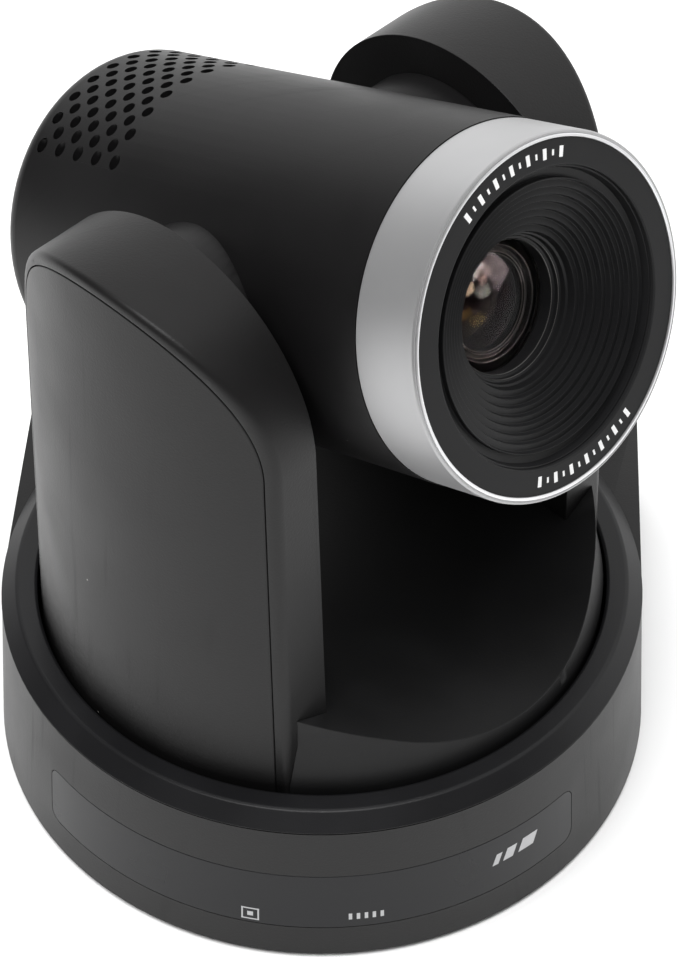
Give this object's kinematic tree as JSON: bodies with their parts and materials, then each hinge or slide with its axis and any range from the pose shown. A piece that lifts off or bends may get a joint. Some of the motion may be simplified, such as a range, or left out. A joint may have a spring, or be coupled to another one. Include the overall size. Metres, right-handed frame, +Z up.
{
  "type": "ptz camera",
  "caption": "Desktop pan and tilt video camera: barrel-shaped zoom head between two arms on a D-shaped base, with geared pan and tilt drives and a moving lens block",
  "frame": {"origin": "centre of the tripod socket in the base's mounting face, on the pan axis", "axes": "+Z up along the pan axis, -Y out of the base's round front, +X to the viewer's right when facing the base's front"},
  "size_m": [0.15, 0.152, 0.1921],
  "materials": {
    "black_shell": "fine-grained matte charcoal moulding",
    "ring_black": "smooth matte black moulding",
    "window": "infrared-clear dark smoked panel",
    "silver": "satin silver paint",
    "face_black": "flat black",
    "baffle_black": "light-trapping black",
    "lens_glass": "coated optical glass",
    "inner_black": "black moulding",
    "white_plastic": "natural acetal",
    "steel": "bright steel",
    "dark_steel": "blackened steel",
    "aluminium": "die-cast",
    "brass": "turned brass",
    "rubber": "soft black rubber",
    "board_green": "green circuit board",
    "socket_metal": "tinned shell",
    "led_blue": "blue indicator"
  },
  "bodies": {
    "base": {"base_housing": "black_shell", "top_ring": "ring_black", "bottom_plate": "dark_steel", "rubber_feet": "rubber", "base_screws": "steel", "tripod_insert": "brass", "bracket_nuts": "brass", "front_window": "window", "front_board": "board_green", "ir_receiver": "inner_black", "status_led": "led_blue", "interface_board": "board_green", "board_standoffs": "brass", "dc_jack": "inner_black", "hdmi_port": "socket_metal", "lan_port": "socket_metal", "sdi_connector": "brass", "round_jacks": "inner_black", "rear_panel": "ring_black", "pedestal": "aluminium", "pan_gear": "white_plastic", "spindle_clip": "steel"},
    "turret": {"pan_bush": "white_plastic", "turntable": "aluminium", "pan_motor": "steel", "yoke_body": "black_shell", "left_arm": "black_shell", "right_arm": "black_shell", "left_arm_cover": "black_shell", "right_arm_cover": "black_shell", "left_upright": "dark_steel", "right_upright": "dark_steel", "turret_screws": "steel", "tilt_bearings": "steel", "tilt_motor": "steel"},
    "pan_drive": {"pan_pinion": "white_plastic"},
    "tilt_drive": {"tilt_pinion": "white_plastic"},
    "head": {"tilt_gear": "white_plastic", "shaft_clips": "steel", "left_hub": "black_shell", "right_hub": "black_shell", "top_shell": "black_shell", "bottom_shell": "black_shell", "silver_ring": "silver", "face_plate": "face_black", "lens_hood": "baffle_black", "lens_tube": "baffle_black", "front_glass": "lens_glass", "guide_rods": "steel", "lens_supports": "inner_black", "lens_motors": "steel", "sensor_board": "board_green", "video_board": "board_green", "heat_sink": "aluminium"},
    "zoom_group": {"zoom_carriage": "inner_black", "zoom_lens": "lens_glass"},
    "focus_group": {"focus_carriage": "inner_black", "focus_lens": "lens_glass"},
    "zoom_drive": {"zoom_screw": "steel"},
    "focus_drive": {"focus_screw": "steel"}
  },
  "joints": [
    {"name": "pan", "type": "hinge", "parent": "base", "child": "turret", "pos_m": [0, 0, 0], "axis": [0, 0, 1], "range_deg": [-219, 121]},
    {"name": "tilt", "type": "hinge", "parent": "turret", "child": "head", "pos_m": [0, 0, 0.13505], "axis": [-0.6561, -0.7547, 0], "range_deg": [-50.6, 69.4]},
    {"name": "pan_pinion_spin", "type": "hinge", "parent": "turret", "child": "pan_drive", "pos_m": [0.02717, -0.02362, 0], "axis": [0, 0, 1], "range_deg": [-1100, 610]},
    {"name": "tilt_pinion_spin", "type": "hinge", "parent": "turret", "child": "tilt_drive", "pos_m": [0, 0, 0.10505], "axis": [-0.6561, -0.7547, 0], "range_deg": [-280, 205]},
    {"name": "zoom", "type": "slide", "parent": "head", "child": "zoom_group", "axis": [0.7065, -0.6141, 0.3518], "range_m": [-0.008, 0.008]},
    {"name": "focus", "type": "slide", "parent": "head", "child": "focus_group", "axis": [0.7065, -0.6141, 0.3518], "range_m": [-0.006, 0.006]},
    {"name": "zoom_screw_spin", "type": "hinge", "parent": "head", "child": "zoom_drive", "pos_m": [0.00412, -0.00358, 0.12054], "axis": [0.7065, -0.6141, 0.3518], "range_deg": [-1445, 1445]},
    {"name": "focus_screw_spin", "type": "hinge", "parent": "head", "child": "focus_drive", "pos_m": [-0.00412, 0.00358, 0.14956], "axis": [0.7065, -0.6141, 0.3518], "range_deg": [-1085, 1085]}
  ],
  "couplings": [
    {"joint": "pan_pinion_spin", "follows": "pan", "ratio": 5},
    {"joint": "tilt_pinion_spin", "follows": "tilt", "ratio": -4},
    {"joint": "zoom_screw_spin", "follows": "zoom", "rad_per_m": 3141.6},
    {"joint": "focus_screw_spin", "follows": "focus", "rad_per_m": 3141.6}
  ]
}
